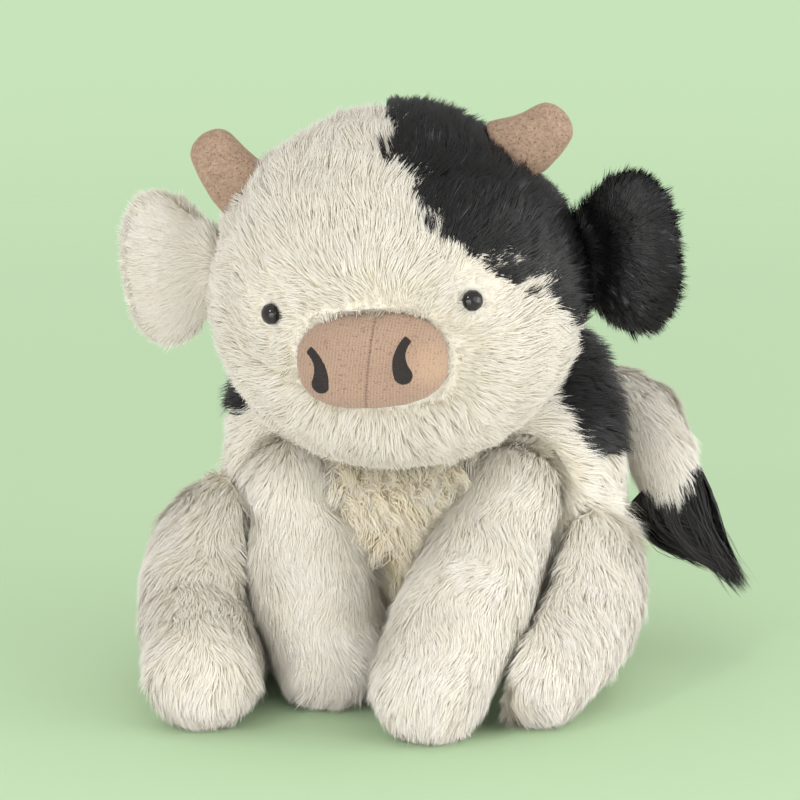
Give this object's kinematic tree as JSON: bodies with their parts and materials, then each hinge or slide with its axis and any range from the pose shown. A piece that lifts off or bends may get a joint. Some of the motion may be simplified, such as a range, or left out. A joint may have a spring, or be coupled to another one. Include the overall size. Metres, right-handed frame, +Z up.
{
  "type": "plush cow",
  "caption": "Seated plush cow toy: furry sewn body with a turning head, floppy ears, soft horns, knit muzzle, bendy legs and a tufted tail, for cuddling and display.",
  "frame": {"origin": "middle of the flat seat under the trunk, on the surface that the toy sits on", "axes": "+Z up, -Y the way the toy faces, +X towards the toy's own left side, where its black ear is"},
  "size_m": [0.2853, 0.2852, 0.292],
  "materials": {
    "white_plush": "long soft pile, creamy white",
    "black_plush": "long soft pile, black with a grey sheen",
    "tan_suede": "short napped knit, matte tan",
    "black_thread": "satin stitch embroidery, black",
    "eye_plastic": "polished, nearly black brown",
    "washer_plastic": "plain moulded, off-white",
    "fibre_fill": "loose polyester fibre, white",
    "sack_cloth": "thin plain woven cloth, natural"
  },
  "bodies": {
    "trunk": {"trunk_cover": "white_plush", "saddle_patch": "black_plush", "trunk_stuffing": "fibre_fill", "pellet_sack": "sack_cloth"},
    "head": {"head_cover": "white_plush", "head_patch": "black_plush", "head_stuffing": "fibre_fill", "muzzle": "tan_suede", "nostril_left": "black_thread", "nostril_right": "black_thread", "eye_left": "eye_plastic", "eye_right": "eye_plastic", "eye_washer_left": "washer_plastic", "eye_washer_right": "washer_plastic", "horn_left": "tan_suede", "horn_right": "tan_suede"},
    "ear_left": {"ear_left": "black_plush"},
    "ear_right": {"ear_right": "white_plush"},
    "front_leg_left": {"front_leg_left_cover": "white_plush", "front_leg_left_stuffing": "fibre_fill"},
    "front_leg_right": {"front_leg_right_cover": "white_plush", "front_leg_right_stuffing": "fibre_fill"},
    "hind_leg_left": {"hind_leg_left_cover": "white_plush", "hind_leg_left_stuffing": "fibre_fill"},
    "hind_leg_right": {"hind_leg_right_cover": "white_plush", "hind_leg_right_stuffing": "fibre_fill"},
    "tail": {"tail_cover": "white_plush", "tail_stuffing": "fibre_fill", "tail_tuft": "black_plush"}
  },
  "joints": [
    {"name": "head_turn", "type": "hinge", "parent": "trunk", "child": "head", "pos_m": [0, -0.05494, 0.14305], "axis": [0, -0.7071, 0.7071], "range_deg": [-20, 20], "stiffness_Nm_per_rad": 0.3},
    {"name": "ear_left_flop", "type": "hinge", "parent": "head", "child": "ear_left", "pos_m": [0.08689, -0.08101, 0.2182], "axis": [-0.1045, 0, 0.9945], "range_deg": [-20, 20], "stiffness_Nm_per_rad": 0.02},
    {"name": "ear_right_flop", "type": "hinge", "parent": "head", "child": "ear_right", "pos_m": [-0.08896, -0.08101, 0.2075], "axis": [-0.1045, 0, 0.9945], "range_deg": [-20, 20], "stiffness_Nm_per_rad": 0.02},
    {"name": "front_leg_left_lift", "type": "hinge", "parent": "trunk", "child": "front_leg_left", "pos_m": [0.05193, -0.06865, 0.10004], "axis": [-1, 0, 0], "range_deg": [0, 35], "stiffness_Nm_per_rad": 0.05},
    {"name": "front_leg_right_lift", "type": "hinge", "parent": "trunk", "child": "front_leg_right", "pos_m": [-0.05193, -0.06865, 0.10004], "axis": [-1, 0, 0], "range_deg": [0, 50], "stiffness_Nm_per_rad": 0.05},
    {"name": "hind_leg_left_splay", "type": "hinge", "parent": "trunk", "child": "hind_leg_left", "pos_m": [0.07618, 0.00758, 0.05423], "axis": [0, 0, 1], "range_deg": [0, 25], "stiffness_Nm_per_rad": 0.05},
    {"name": "hind_leg_right_splay", "type": "hinge", "parent": "trunk", "child": "hind_leg_right", "pos_m": [-0.07618, 0.00758, 0.05423], "axis": [0, 0, -1], "range_deg": [0, 25], "stiffness_Nm_per_rad": 0.05},
    {"name": "tail_swing", "type": "hinge", "parent": "trunk", "child": "tail", "pos_m": [0, 0.06368, 0.08789], "axis": [0, 0, 1], "range_deg": [0, 60], "stiffness_Nm_per_rad": 0.02}
  ]
}
